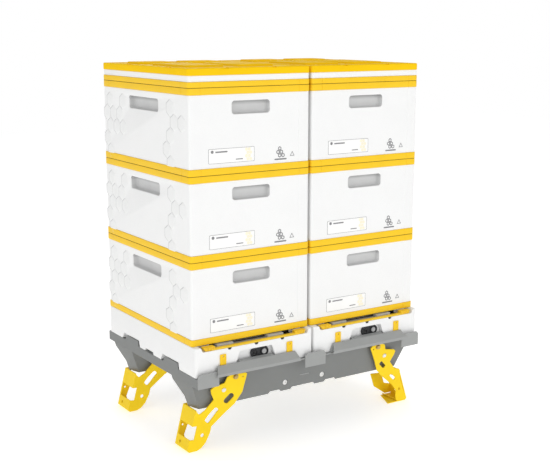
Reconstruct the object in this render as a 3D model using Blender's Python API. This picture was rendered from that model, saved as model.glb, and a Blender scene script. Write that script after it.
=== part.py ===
"""Twin beehive on a legged stand, built as an assembly of separate parts.

Two stacks of three foam hive boxes, each on a ventilated base and under a flat roof,
stand side by side on a pressed-steel stand with four bolted legs.
Lengths below are millimetres and are scaled to metres when a mesh is made.
+Z is up, -Y is the entrance side, and the floor is at Z = 0.
"""
import math

import bmesh
import bpy
from mathutils import Vector

MM = 0.001

# ---- driving dimensions ------------------------------------------------------------
BOX_X = 408.0            # width of one hive
BOX_Y = 560.0            # depth of one hive
BOX_PITCH = 245.5        # one hive box plus the joint line above it
BOX_GAP = 0.5
LEVELS = 3
HIVE_X = 207.0           # hive centre to the middle of the stand
WALL = 49.0              # box wall, rims included
CORNER_R = 9.0
INNER_R = 6.0

Y0 = 19.0                # box centre, measured from the middle of the footprint
Z0 = 328.0               # underside of the lowest box above the floor

RIM_H = 19.5
RIM_T = 3.0
RIM_INNER_H = 10.0
FIT = 0.35               # clearance between neighbouring parts
FOAM_INSET = 1.5

HANDLE_Z = 187.5
HANDLE_H = 37.0
HANDLE_W_FRONT = 127.0
HANDLE_W_SIDE = 190.0
HANDLE_DEPTH = 22.0
HANDLE_R = 9.0

ROOF_RIM_H = 16.0
ROOF_FOAM_TOP = 33.5     # foam above the roof's underside, below the cover skirt
ROOF_TOP = 53.5
COVER_T = 3.0

BASE_FRONT = -302.0
BASE_REAR = 280.0
BASE_BOTTOM = -88.0
BASE_FLOOR = -68.0
RECESS_Y = -286.0
BEZEL_X = 19.0           # entrance bezel, from the hive's centre line
BEZEL_Z = -47.0
BEZEL_LEN = 62.0
BEZEL_H = 31.0
DISC_R = 10.6
DISC_TRAVEL = 15.6       # disc centre either side of the bezel's middle

STAND_X = 411.0
SHEET = 2.5
DECK_Z = -88.6
BAND_Z = -118.0
STAND_FRONT = -315.0
STAND_REAR = 288.0
BEAM_STEP = 400.0        # front beam to rear beam
TILT = 0.25              # the beams' front walls lean back by this much per unit drop

PIVOT_X = 268.0
PIVOT_Y = -285.0
PIVOT_Z = -111.0
LEG_T = 3.0
LEG_LOW_Y = -257.25
LEG_REAR_Y = -180.0

SIDES = (("left", -1), ("right", 1))
ENDS = (("front", 0.0), ("rear", BEAM_STEP))


# ---- scene and materials -----------------------------------------------------------
for old in list(bpy.data.objects):
    bpy.data.objects.remove(old, do_unlink=True)

MATERIALS = {
    # slot: (colour, roughness, metallic)
    "foam_white": ((0.87, 0.87, 0.86), 0.60, 0.0),
    "rim_yellow": ((0.95, 0.56, 0.02), 0.42, 0.0),
    "cover_yellow": ((0.94, 0.53, 0.02), 0.45, 0.0),
    "clip_yellow": ((0.92, 0.62, 0.03), 0.48, 0.0),
    "shutter_grey": ((0.42, 0.42, 0.42), 0.50, 0.0),
    "bezel_dark": ((0.045, 0.047, 0.052), 0.45, 0.0),
    "stand_grey": ((0.26, 0.27, 0.265), 0.50, 0.20),
    "leg_yellow": ((0.98, 0.68, 0.03), 0.42, 0.15),
    "bolt_steel": ((0.55, 0.43, 0.20), 0.35, 1.0),
}


def material(slot):
    """Return the Principled material for a slot, making it on first use."""
    found = bpy.data.materials.get(slot)
    if found:
        return found
    color, rough, metal = MATERIALS[slot]
    mat = bpy.data.materials.new(slot)
    mat.use_nodes = True
    shader = mat.node_tree.nodes["Principled BSDF"]
    shader.inputs["Base Color"].default_value = (*color, 1.0)
    shader.inputs["Roughness"].default_value = rough
    shader.inputs["Metallic"].default_value = metal
    mat.diffuse_color = (*color, 1.0)
    return mat


# ---- solids (all in millimetres) ---------------------------------------------------
def solid(verts, faces):
    """Make a closed solid as a temporary object."""
    mesh = bpy.data.meshes.new("solid")
    mesh.from_pydata([tuple(v) for v in verts], [], faces)
    bm = bmesh.new()
    bm.from_mesh(mesh)
    bmesh.ops.recalc_face_normals(bm, faces=bm.faces)
    bm.to_mesh(mesh)
    bm.free()
    obj = bpy.data.objects.new("solid", mesh)
    bpy.context.collection.objects.link(obj)
    return obj


def prism(points, axis, lo, hi):
    """Extrude a 2D outline along x, y or z. Points are the other two axes in order."""
    def place(p, h):
        if axis == "x":
            return (h, p[0], p[1])
        if axis == "y":
            return (p[0], h, p[1])
        return (p[0], p[1], h)
    n = len(points)
    verts = [place(p, lo) for p in points] + [place(p, hi) for p in points]
    faces = [tuple(range(n)), tuple(range(n, 2 * n))]
    faces += [(i, (i + 1) % n, n + (i + 1) % n, n + i) for i in range(n)]
    return solid(verts, faces)


def block(x0, x1, y0, y1, z0, z1):
    return prism([(x0, y0), (x1, y0), (x1, y1), (x0, y1)], "z", z0, z1)


def flared(points, widths, fan=False):
    """Extrude a (y, z) outline both ways along x, each point to its own half width.

    With fan, the ends are made of triangles that meet at the second point.
    """
    n = len(points)
    verts = [(-w, p[0], p[1]) for p, w in zip(points, widths)]
    verts += [(w, p[0], p[1]) for p, w in zip(points, widths)]
    if fan:
        faces = [(h + 1, h + i, h + (i + 1) % n) for h in (0, n) for i in range(2, n)]
    else:
        faces = [tuple(range(n)), tuple(range(n, 2 * n))]
    faces += [(i, (i + 1) % n, n + (i + 1) % n, n + i) for i in range(n)]
    return solid(verts, faces)


def slab(points, origin, across, down, normal, depth):
    """Extrude an outline given in a tilted plane, backwards from its front face."""
    o, a, d, k = (Vector(v) for v in (origin, across, down, normal))
    front = [o + a * p[0] + d * p[1] for p in points]
    back = [v - k * depth for v in front]
    n = len(points)
    faces = [tuple(range(n)), tuple(range(n, 2 * n))]
    faces += [(i, (i + 1) % n, n + (i + 1) % n, n + i) for i in range(n)]
    return solid(front + back, faces)


def rounded(cx, cy, hx, hy, r, steps=2):
    """Outline of a rounded rectangle."""
    points = []
    for k, (sx, sy) in enumerate(((1, 1), (-1, 1), (-1, -1), (1, -1))):
        for i in range(steps + 1):
            a = math.pi / 2 * (k + i / steps)
            px = cx + sx * (hx - r) + r * math.cos(a)
            py = cy + sy * (hy - r) + r * math.sin(a)
            points.append((px, py))
    return points


def circle(cx, cy, r, n=12):
    return [(cx + r * math.cos(2 * math.pi * i / n), cy + r * math.sin(2 * math.pi * i / n))
            for i in range(n)]


def stadium(cx, cy, length, height, steps=5):
    r = height / 2
    half = length / 2 - r
    points = []
    for side, start in ((1, -math.pi / 2), (-1, math.pi / 2)):
        for i in range(steps + 1):
            a = start + math.pi * i / steps
            points.append((cx + side * half + r * math.cos(a), cy + r * math.sin(a)))
    return points


def ring(profile, cx, cy, hx, hy):
    """Sweep a closed (inset, z) profile round a rounded rectangle."""
    loops = []
    for inset, z in profile:
        r = max(CORNER_R - inset, INNER_R)
        outline = rounded(cx, cy, hx - inset, hy - inset, r)
        loops.append([(x, y, z) for x, y in outline])
    n = len(loops[0])
    m = len(loops)
    verts = [v for loop in loops for v in loop]
    faces = []
    for j in range(m):
        k = (j + 1) % m
        for i in range(n):
            h = (i + 1) % n
            faces.append((j * n + i, j * n + h, k * n + h, k * n + i))
    return solid(verts, faces)


def spun(profile, origin, axis, n=12):
    """Spin an (along, radius) profile, both ends closed, round an axis."""
    k = Vector(axis).normalized()
    a = k.orthogonal().normalized()
    b = k.cross(a)
    o = Vector(origin)
    verts = []
    for along, r in profile:
        for i in range(n):
            t = 2 * math.pi * i / n
            verts.append(o + k * along + a * (r * math.cos(t)) + b * (r * math.sin(t)))
    m = len(profile)
    faces = [tuple(range(n)), tuple(range((m - 1) * n, m * n))]
    for j in range(m - 1):
        for i in range(n):
            h = (i + 1) % n
            faces.append((j * n + i, j * n + h, (j + 1) * n + h, (j + 1) * n + i))
    return solid(verts, faces)


def combine(target, others, operation):
    """Apply an exact boolean with each of the other solids, which are used up."""
    for other in others:
        mod = target.modifiers.new("combine", "BOOLEAN")
        mod.operation = operation
        mod.solver = "EXACT"
        mod.object = other
        graph = bpy.context.evaluated_depsgraph_get()
        made = bpy.data.meshes.new_from_object(target.evaluated_get(graph))
        target.modifiers.clear()
        target.data = made
        bpy.data.objects.remove(other, do_unlink=True)
    return target


def union(target, *others):
    return combine(target, others, "UNION")


def cut(target, *others):
    return combine(target, others, "DIFFERENCE")


def finish(obj, name, slot, origin=(0.0, 0.0, 0.0), shift=(0.0, 0.0, 0.0), parent=None):
    """Name a solid, scale it to metres and put its origin where it moves from."""
    o = Vector(origin)
    s = Vector(shift)
    place = Vector((0.0, Y0, Z0))
    for v in obj.data.vertices:
        v.co = (v.co - o) * MM
    bm = bmesh.new()
    bm.from_mesh(obj.data)
    bmesh.ops.remove_doubles(bm, verts=bm.verts, dist=0.00001)
    bmesh.ops.triangulate(bm, faces=[f for f in bm.faces if len(f.verts) > 4])
    bmesh.ops.recalc_face_normals(bm, faces=bm.faces)
    bm.to_mesh(obj.data)
    bm.free()
    obj.name = name
    obj.data.name = name
    obj.data.materials.clear()
    obj.data.materials.append(material(slot))
    obj.location = (o + s + place) * MM
    if parent:
        parent_to(obj, parent)
    return obj


def parent_to(obj, parent):
    """Parent an object and keep it where it is."""
    obj.parent = parent
    bpy.context.view_layer.update()
    obj.matrix_parent_inverse = parent.matrix_world.inverted()


# ---- hive parts --------------------------------------------------------------------
def box_rim(cx, z0, height, upward, inner_h=RIM_INNER_H):
    """Channel-section edge guard. Its web lies on the joint face of the box."""
    t = RIM_T
    if upward:
        web, lip, inner = z0, z0 + height, z0 + inner_h
        step = t
    else:
        web, lip, inner = z0 + height, z0, z0 + height - inner_h
        step = -t
    profile = [(0, web), (0, lip), (t, lip), (t, web + step),
               (WALL - t, web + step), (WALL - t, inner), (WALL, inner), (WALL, web)]
    return ring(profile, cx, 0.0, BOX_X / 2, BOX_Y / 2)


def box_walls(cx, z0, height):
    """Foam box with a recessed handle on each side."""
    a = RIM_T + FIT
    b = WALL - RIM_T - FIT
    low, high = z0 + a, z0 + height - a
    rim_low, rim_high = z0 + RIM_H + FIT, z0 + height - RIM_H - FIT
    in_low, in_high = z0 + RIM_INNER_H + FIT, z0 + height - RIM_INNER_H - FIT
    profile = [(a, low), (a, rim_low), (FOAM_INSET, rim_low), (FOAM_INSET, rim_high),
               (a, rim_high), (a, high), (b, high), (b, in_high),
               (WALL, in_high), (WALL, in_low), (b, in_low), (b, low)]
    walls = ring(profile, cx, 0.0, BOX_X / 2, BOX_Y / 2)
    hz = z0 + HANDLE_Z
    front = rounded(cx, hz, HANDLE_W_FRONT / 2, HANDLE_H / 2, HANDLE_R)
    side = rounded(0.0, hz, HANDLE_W_SIDE / 2, HANDLE_H / 2, HANDLE_R)
    hx, hy, d = BOX_X / 2, BOX_Y / 2, HANDLE_DEPTH
    return cut(walls,
               prism(front, "y", -hy - 5, -hy + d),
               prism(front, "y", hy - d, hy + 5),
               prism(side, "x", cx - hx - 5, cx - hx + d),
               prism(side, "x", cx + hx - d, cx + hx + 5))


def roof_foam(cx, z0):
    """Insulating slab between the roof's edge guard and its cover."""
    a = RIM_T + FIT
    hx, hy = BOX_X / 2, BOX_Y / 2
    steps = [(a, z0 + a), (a, z0 + ROOF_RIM_H + FIT), (FOAM_INSET, z0 + ROOF_RIM_H + FIT),
             (FOAM_INSET, z0 + ROOF_FOAM_TOP - FIT), (a, z0 + ROOF_FOAM_TOP - FIT),
             (a, z0 + ROOF_TOP - COVER_T - FIT)]
    loops = []
    for inset, z in steps:
        r = max(CORNER_R - inset, INNER_R)
        loops.append([(x, y, z) for x, y in rounded(cx, 0.0, hx - inset, hy - inset, r)])
    n = len(loops[0])
    faces = [tuple(range(n)), tuple(range(n * (len(loops) - 1), n * len(loops)))]
    for j in range(len(loops) - 1):
        for i in range(n):
            h = (i + 1) % n
            faces.append((j * n + i, j * n + h, (j + 1) * n + h, (j + 1) * n + i))
    slab_foam = solid([v for loop in loops for v in loop], faces)
    # the underside is hollowed inside the edge guard, to clear its inner leg
    inset = WALL - RIM_T - FIT
    hollow = prism(rounded(cx, 0.0, hx - inset, hy - inset, INNER_R), "z",
                   z0, z0 + RIM_INNER_H + FIT)
    return cut(slab_foam, hollow)


def roof_cover(cx, z0):
    """Shallow cap with a skirt, raised pads and a strap channel between them."""
    hx, hy = BOX_X / 2, BOX_Y / 2
    low, top = z0 + ROOF_FOAM_TOP, z0 + ROOF_TOP
    cap = prism(rounded(cx, 0.0, hx, hy, CORNER_R), "z", low, top)
    inset = COVER_T
    under = prism(rounded(cx, 0.0, hx - inset, hy - inset, CORNER_R - inset), "z",
                  low - 5.0, top - COVER_T)
    cap = cut(cap, under)
    pads = []
    for px, py, w, d in ((-86.0, -63.0, 64.0, 112.0), (86.0, -63.0, 64.0, 112.0),
                         (-86.0, 178.0, 64.0, 48.0), (86.0, 178.0, 64.0, 48.0)):
        base = rounded(cx + px, py, w, d, 16.0)
        crown = rounded(cx + px, py, w - 4.0, d - 4.0, 12.0)
        n = len(base)
        verts = [(x, y, top - 1.0) for x, y in base] + [(x, y, top + 4.0) for x, y in crown]
        faces = [tuple(range(n)), tuple(range(n, 2 * n))]
        faces += [(i, (i + 1) % n, n + (i + 1) % n, n + i) for i in range(n)]
        pads.append(solid(verts, faces))
    return union(cap, *pads)


def base_body(cx):
    """Foam base with the entrance recess, vent ledge and side notches."""
    mid = (BASE_FRONT + BASE_REAR) / 2
    half = (BASE_REAR - BASE_FRONT) / 2
    body = prism(rounded(cx, mid, BOX_X / 2, half, CORNER_R), "z", BASE_BOTTOM, -BOX_GAP)
    cavity = block(cx - 155.0, cx + 155.0, -231.0, 231.0, BASE_FLOOR, 5.0)
    recess = prism([(cx - 56.0, -29.0), (cx + 56.0, -29.0), (cx + 80.0, -95.0),
                    (cx - 80.0, -95.0)], "y", BASE_FRONT - 5.0, RECESS_Y)
    tunnel = prism(circle(cx + BEZEL_X - DISC_TRAVEL, BEZEL_Z, 11.0), "y",
                   RECESS_Y - 2.0, -229.0)
    ledge = prism([(cx - 188.0, 5.0), (cx - 180.0, -13.5), (cx + 184.0, -13.5),
                   (cx + 192.0, 5.0)], "y", BASE_FRONT - 5.0, -262.0)
    vent = block(cx - 125.0, cx + 115.0, -266.0, -229.0, -9.0, 5.0)
    parts = [cavity, recess, tunnel, ledge, vent]
    for nx in (-90.0, 2.0, 94.0):
        parts.append(prism([(cx + nx - 8.0, -12.0), (cx + nx + 8.0, -12.0),
                            (cx + nx + 4.0, -19.5), (cx + nx - 4.0, -19.5)],
                           "y", BASE_FRONT - 5.0, BASE_FRONT + 8.0))
    for side in (-1, 1):
        edge = cx + side * BOX_X / 2
        x0, x1 = sorted((edge - side * 12.0, edge + side * 5.0))
        for outline in SIDE_NOTCHES:
            parts.append(prism(outline, "x", x0, x1))
    return cut(body, *parts)


SIDE_NOTCHES = (
    [(-204.0, -95.0), (-198.0, -67.0), (-95.0, -67.0), (-80.0, -95.0)],
    [(-39.0, -95.0), (-33.0, -79.0), (18.0, -79.0), (27.0, -95.0)],
    [(56.0, -95.0), (64.0, -67.0), (172.0, -67.0), (190.0, -95.0)],
)
SIDE_TABS = (
    [(-197.0, -100.0), (-192.0, -70.0), (-112.0, -70.0), (-92.0, -100.0)],
    [(67.0, -100.0), (71.0, -70.0), (150.0, -70.0), (172.0, -100.0)],
)


def vent_rail(cx):
    """Front rail of the vent with a ribbed grip wedge at each end."""
    bar = prism([(-301.5, -13.0), (-301.5, -9.0), (-297.0, -7.6), (-290.0, -7.6),
                 (-290.0, -13.0)], "x", cx - 150.0, cx + 154.0)
    ends = []
    for x0, x1, tip in ((cx - 138.0, cx - 170.0, cx - 176.0), (cx + 142.0, cx + 174.0, cx + 180.0)):
        outline = [(x0, -13.0), (x1, -13.0), (tip, -1.6), (x0, -1.6)]
        ends.append(prism(outline, "y", -300.5, -283.0))
    return union(bar, *ends)


def vent_slide(cx):
    """Shutter strip that slides along behind the rail."""
    strip = block(cx - 127.0, cx + 109.0, -289.0, -268.0, -12.5, -10.0)
    plates = [block(cx + a, cx + b, -289.0, -270.0, -11.0, -1.8)
              for a, b in ((-125.0, -70.0), (50.0, 105.0))]
    return union(strip, *plates)


def latch(cx, lx):
    """Flat locking tab that drops behind the stand's front flange."""
    tab = prism(rounded(cx + lx, -52.0, 10.2, 23.0, 2.0), "y", -305.6, BASE_FRONT - 0.35)
    return cut(tab, prism(circle(cx + lx, -34.5, 2.2, 8), "y", -310.0, -298.0))


def bezel(cx):
    """Stadium frame round the entrance. Its left half is open, its right half is blind."""
    bx = cx + BEZEL_X
    frame = prism(stadium(bx, BEZEL_Z, BEZEL_LEN, BEZEL_H, 7), "y", -293.5, RECESS_Y - 0.35)
    pocket = prism(stadium(bx, BEZEL_Z, BEZEL_LEN - 7.0, 2 * DISC_R + 1.8, 8), "y",
                   -300.0, -288.6)
    hole = prism(circle(bx - DISC_TRAVEL, BEZEL_Z, 9.0), "y", -300.0, -280.0)
    return cut(frame, pocket, hole)


def shutter(cx):
    """Round shutter that slides across the entrance, with a raised thumb boss."""
    x = cx + BEZEL_X + DISC_TRAVEL
    profile = [(0.0, DISC_R), (3.2, DISC_R), (4.0, DISC_R - 1.0), (4.0, 5.0), (5.5, 4.2)]
    return spun(profile, (x, -289.0, BEZEL_Z), (0, -1, 0), 20)


# ---- stand parts -------------------------------------------------------------------
def stand_rail(side):
    """Side rail: outer band, inward top lip and the tabs that locate the base."""
    x = side * STAND_X
    inner = side * (STAND_X - SHEET)
    x0, x1 = sorted((x, inner))
    band = block(x0, x1, STAND_FRONT + 3.2, STAND_REAR - 5.2, BAND_Z, DECK_Z)
    lip_x0, lip_x1 = sorted((x, side * (STAND_X - 26.0)))
    lip = block(lip_x0, lip_x1, -268.0, STAND_REAR - 5.2, DECK_Z - SHEET, DECK_Z)
    tabs = [prism(outline, "x", x0, x1) for outline in SIDE_TABS]
    return union(band, lip, *tabs)


def fascia_front():
    """Front member: shelf, three locating ears and a landing ramp for each hive."""
    wide = STAND_X - SHEET - FIT
    shelf = block(-wide, wide, -313.5, -276.5, DECK_Z - SHEET, DECK_Z)
    extra = []
    for x0, x1 in ((-STAND_X, -341.0), (-38.0, 38.0), (341.0, STAND_X)):
        c = 7.0
        outline = [(x0, BAND_Z), (x1, BAND_Z), (x1, -74.0 - c), (x1 - c, -74.0),
                   (x0 + c, -74.0), (x0, -74.0 - c)]
        extra.append(prism(outline, "y", STAND_FRONT, STAND_FRONT + SHEET))
    t = SHEET
    for side in (-1, 1):
        cx = side * HIVE_X
        y = -309.5
        section = [(y + t, -60.0), (y, -60.0), (-326.0, -80.0), (-326.0, -88.5),
                   (-326.0 + t, -88.5), (-326.0 + t, -81.2), (y, -64.4),
                   (y, DECK_Z - t), (y + t, DECK_Z - t)]
        widths = [135.0 - (z + 60.0) * 0.4 for _, z in section]
        ramp = flared(section, widths)
        for v in ramp.data.vertices:
            v.co.x += cx
        tongue = prism([(-309.0, -60.4), (-309.0, -62.6), (-295.0, -59.0), (-295.0, -57.0)],
                       "x", cx - 60.0, cx + 60.0)
        extra += [ramp, tongue]
    return union(shelf, *extra)


def fascia_rear():
    """Rear member: band with an inward lip."""
    band = block(-STAND_X, STAND_X, STAND_REAR - SHEET, STAND_REAR, BAND_Z, DECK_Z)
    lip = block(-384.0, 384.0, 268.0, STAND_REAR - 1.0, DECK_Z - SHEET, DECK_Z)
    return union(band, lip)


def wall_y(z):
    """Front face of a beam at a height, for the front beam."""
    return PIVOT_Y + 16.0 + TILT * (PIVOT_Z - z)


def beam(dy):
    """Pressed cross-beam, open below, with leaning front wall and closed tapered ends."""
    z = [-93.0, -119.0, -205.0, -205.0, -174.0, -133.0, -119.0, -93.0]
    y = [wall_y(-93.0), wall_y(-119.0), wall_y(-205.0), -203.0, -196.0, -145.0, -137.0, -137.0]
    w = [405.0, 405.0, 370.0, 384.0, 392.0, 404.0, 405.0, 405.0]
    shell = flared([(a + dy, b) for a, b in zip(y, z)], w, fan=True)
    t = 3.0
    zi = [-96.0, -119.0, -215.0, -215.0, -175.6, -135.0, -120.2, -96.0]
    yi = [wall_y(-96.0) + t, wall_y(-119.0) + t, wall_y(-215.0) + t, -208.4, -199.0,
          -147.6, -140.0, -140.0]
    wi = [402.0, 402.0, 362.0, 378.0, 388.6, 401.0, 402.0, 402.0]
    inner = flared([(a + dy, b) for a, b in zip(yi, zi)], wi, fan=True)
    shell = cut(shell, inner)
    tools = []
    for x0, x1 in ((-127.0, -83.0), (-45.0, 45.0), (83.0, 127.0)):
        tools.append(prism([(x0 - 3.0, -208.0), (x1 + 3.0, -208.0), (x1 - 4.0, -198.0),
                            (x0 + 4.0, -198.0)], "y", dy - 262.0, dy - 230.0))
    for hx in (-70.0, 70.0):
        tools.append(prism(circle(hx, -176.5, 9.5), "y", dy - 275.0, dy - 235.0))
    tools.append(prism(stadium(0.0, -161.0, 38.0, 3.4, 3), "y", dy - 275.0, dy - 240.0))
    return cut(shell, *tools)


def centre_rail():
    """Tee-section rail under the joint between the two hives."""
    plate = block(-32.0, 32.0, -268.0, 267.5, DECK_Z - SHEET, DECK_Z)
    web = block(-SHEET / 2, SHEET / 2, -136.0, 125.0, -126.0, DECK_Z)
    return union(plate, web)


ARM_TOP = [(-285.0, -103.5), (-296.0, -109.0), (-303.0, -127.0), (-340.0, -134.0),
           (-348.0, -141.0), (-344.0, -155.0), (-333.0, -177.0), (-359.0, -207.0)]
WEB_LOW = (-418.0, -322.0)
FOOT_LOW = [(-386.0, -328.0), (-412.0, -328.0), WEB_LOW]
# what differs between a left leg and a right leg
LEG_SHAPES = {
    -1: {"arm": [(-376.0, -217.0), (-385.0, -208.0), (-388.0, -203.0), (-393.0, -223.0),
                 (-280.0, -223.0), (-258.0, -205.0), (-236.0, -169.0), (-228.0, -110.0),
                 (-233.0, -105.5)],
         "web_top": (-388.0, -203.0),
         "foot": [(-392.0, -219.0), (-377.0, -219.0), (-340.0, -219.0), (-276.0, -219.0),
                  (-336.0, -262.0), (-341.0, -281.0), (-356.0, -308.0), (-371.0, -322.0),
                  *FOOT_LOW],
         "rear": [(-388.0, -203.0), (-372.0, -203.0), (-374.0, -267.0), (-388.0, -300.0),
                  (-382.0, -328.0), (-412.0, -328.0), WEB_LOW],
         "window_from": -5.0,
         "tab_hole": (-241.0, -117.0), "nut": (-367.0, -283.0, 6.0),
         "upper_slot": ((36.0, 22.0, 7.0), (-281.0, -182.0)),
         "lower_slot": ((52.0, 18.0, 4.5), (-335.0, -226.0))},
    1: {"arm": [(-382.0, -214.0), (-387.0, -223.0), (-306.0, -223.0), (-284.0, -200.0),
                (-268.0, -166.0), (-240.0, -114.0), (-246.0, -105.5)],
        "web_top": (-384.0, -216.0),
        "foot": [(-386.0, -219.0), (-377.0, -219.0), (-340.0, -219.0), (-302.0, -219.0),
                 (-354.0, -264.0), (-372.0, -288.0), (-370.0, -305.0), (-373.0, -322.0),
                 *FOOT_LOW, (-404.0, -293.0), (-398.0, -276.0), (-389.0, -250.0)],
        "rear": [(-322.0, -242.0), (-367.0, -246.0), (-380.0, -284.0), (-408.0, -292.0),
                 WEB_LOW, (-384.0, -321.0), (-338.0, -289.0)],
        "window_from": 4.0,
        "tab_hole": (-252.0, -119.0), "nut": (-385.0, -284.0, 4.5),
        "upper_slot": ((32.0, 13.0, 3.6), (-303.0, -183.0)),
        "lower_slot": ((27.0, 10.0, 3.0), (-355.0, -236.0))},
}


def leg(side, dy):
    """Folded sheet leg: tilted arm, upright channel with a cut-out and a foot pad."""
    lean = math.hypot(1.0, TILT)
    down = (0.0, TILT / lean, -1.0 / lean)
    normal = (0.0, -1.0 / lean, -TILT / lean)
    pivot = (0.0, PIVOT_Y + dy, PIVOT_Z)
    mirror = -side

    def flat(points):
        return [(mirror * x, (PIVOT_Z - z) * lean) for x, z in points]

    def turned(points):
        return [(mirror * x, z) for x, z in points]

    shape = LEG_SHAPES[side]
    arm = slab(flat(ARM_TOP + shape["arm"]), pivot, (1, 0, 0), down, normal, LEG_T)
    y = LEG_LOW_Y + dy
    yr = LEG_REAR_Y + dy
    top_x, top_z = shape["web_top"]
    body = union(
        arm,
        prism(turned(shape["foot"]), "y", y, y + LEG_T),
        prism(turned([(top_x, top_z), WEB_LOW, (-415.0, -322.0), (top_x + 3.0, top_z)]), "y",
              y + 0.4, yr),
        prism(turned(shape["rear"]), "y", yr - LEG_T, yr),
        prism(turned([(-375.0, -322.5), *FOOT_LOW, (-415.0, -320.5), (-411.0, -325.0),
                      (-387.0, -325.0), (-376.5, -319.5)]), "y", y + 0.4, yr))
    if side > 0:
        pad = [(338.0, y + 0.6), (392.0, y + 0.6), (392.0, yr - 0.6), (368.0, yr - 0.6)]
        body = union(body, prism(pad, "z", -328.0, -325.4))
    window = prism(turned([(-440.0, -247.0), (-384.0, -251.0), (-395.0, -292.0),
                           (-440.0, -287.0)]), "y", y + shape["window_from"],
                   yr - LEG_T - 3.0)
    body = cut(body, window)
    through = (1, 0, 0), down, normal
    front = Vector(pivot) + Vector(normal) * 10.0
    holes = [(circle(0, 0, 5.3), (-PIVOT_X, PIVOT_Z)),
             (circle(0, 0, 2.6, 8), shape["tab_hole"]),
             (circle(0, 0, 4.6), (-303.0, -149.0))]
    for slot in ("upper_slot", "lower_slot"):
        size, place = shape[slot]
        holes.append((slot_outline(*size), place))
    for outline, (hx, hz) in holes:
        points = [(mirror * (px + hx), py + (PIVOT_Z - hz) * lean) for px, py in outline]
        body = cut(body, slab(points, front, *through, 34.0))
    x0, x1 = sorted((side * 395.0, side * 430.0))
    return cut(body, prism(turned(circle(*shape["nut"])), "y", y - 5.0, y + 8.0),
               prism(turned(circle(-392.0, -268.0, 3.6, 8)), "y", yr - 8.0, yr + 5.0),
               prism(circle(y + 52.0, -308.0, 5.0, 8), "x", x0, x1))


def slot_outline(length, width, r):
    """Rounded slot turned to follow the leg's arm."""
    turn = math.radians(-45.0)
    c, s = math.cos(turn), math.sin(turn)
    return [(x * c - y * s, -(x * s + y * c) * -1.0)
            for x, y in rounded(0.0, 0.0, length / 2, width / 2, r)]


def pivot_bolt(side, dy):
    """Bolt, washer and spacer that a leg turns on."""
    lean = math.hypot(1.0, TILT)
    axis = (0.0, -1.0 / lean, -TILT / lean)
    centre = (side * PIVOT_X, PIVOT_Y + dy, PIVOT_Z)
    reach = 16.0 / lean
    profile = [(-reach + 0.35, 9.0), (-LEG_T - 0.4, 9.0), (-LEG_T - 0.4, 4.8), (0.4, 4.8),
               (0.4, 9.0), (1.8, 9.0), (1.8, 7.0), (5.6, 7.0), (6.6, 5.6)]
    return spun(profile, centre, axis, 12), centre


def lock_screw(side, dy):
    """Screw with a shouldered head that clamps a leg once it is set."""
    lean = math.hypot(1.0, TILT)
    axis = Vector((0.0, -1.0 / lean, -TILT / lean))
    drop = PIVOT_Z + 149.0
    centre = Vector((side * 303.0, PIVOT_Y + dy + TILT * drop, -149.0))
    profile = [(-LEG_T - 4.0, 6.5), (-LEG_T - 0.4, 6.5), (-LEG_T - 0.4, 4.1), (0.4, 4.1),
               (0.4, 7.4), (1.4, 7.4), (3.6, 5.4)]
    return spun(profile, centre, axis, 12)


# ---- assembly ----------------------------------------------------------------------
rack = bpy.data.objects.new("assembly", None)
bpy.context.collection.objects.link(rack)

for label, dy in ENDS:
    finish(beam(dy), "stand_beam_" + label, "stand_grey", parent=rack)
for label, side in SIDES:
    finish(stand_rail(side), "stand_rail_" + label, "stand_grey", parent=rack)
finish(fascia_front(), "stand_fascia_front", "stand_grey", parent=rack)
finish(fascia_rear(), "stand_fascia_rear", "stand_grey", parent=rack)
finish(centre_rail(), "stand_rail_centre", "stand_grey", parent=rack)

for end, dy in ENDS:
    for label, side in SIDES:
        tag = end + "_" + label
        bolt, centre = pivot_bolt(side, dy)
        finish(bolt, "pivot_bolt_" + tag, "bolt_steel", origin=centre, parent=rack)
        made = finish(leg(side, dy), "leg_" + tag, "leg_yellow", origin=centre, parent=rack)
        finish(lock_screw(side, dy), "lock_screw_" + tag, "bolt_steel", parent=made)

for label, side in SIDES:
    cx = side * HIVE_X
    middle = (cx, 0.0, 0.0)
    base = finish(base_body(cx), "base_body_" + label, "foam_white", origin=middle, parent=rack)
    finish(vent_rail(cx), "vent_rail_" + label, "clip_yellow", parent=base)
    finish(vent_slide(cx), "vent_slide_" + label, "shutter_grey", origin=middle, parent=base)
    finish(bezel(cx), "entrance_bezel_" + label, "bezel_dark", parent=base)
    finish(shutter(cx), "entrance_shutter_" + label, "shutter_grey",
           origin=(cx + BEZEL_X + DISC_TRAVEL, -289.0, BEZEL_Z), parent=base)
    for end, lx in (("a", -114.0), ("b", 118.0)):
        finish(latch(cx, lx), "base_latch_" + label + "_" + end, "rim_yellow",
               origin=(cx + lx, BASE_FRONT, -52.0), parent=base)
    below = base
    height = BOX_PITCH - BOX_GAP
    for level in range(LEVELS):
        z = level * BOX_PITCH
        tag = label + "_" + str(level + 1)
        walls = finish(box_walls(cx, z, height), "box_walls_" + tag, "foam_white",
                       origin=(cx, 0.0, z), parent=below)
        finish(box_rim(cx, z, RIM_H, True), "box_rim_lower_" + tag, "rim_yellow",
               origin=(cx, 0.0, z), parent=walls)
        finish(box_rim(cx, z + height - RIM_H, RIM_H, False), "box_rim_upper_" + tag,
               "rim_yellow", origin=(cx, 0.0, z), parent=walls)
        below = walls
    z = LEVELS * BOX_PITCH
    cover = finish(roof_cover(cx, z), "roof_cover_" + label, "cover_yellow",
                   origin=(cx, 0.0, z), parent=below)
    finish(roof_foam(cx, z), "roof_foam_" + label, "foam_white",
           origin=(cx, 0.0, z), parent=cover)
    finish(box_rim(cx, z, ROOF_RIM_H, True), "roof_rim_" + label, "rim_yellow",
           origin=(cx, 0.0, z), parent=cover)

bpy.context.view_layer.update()
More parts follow.
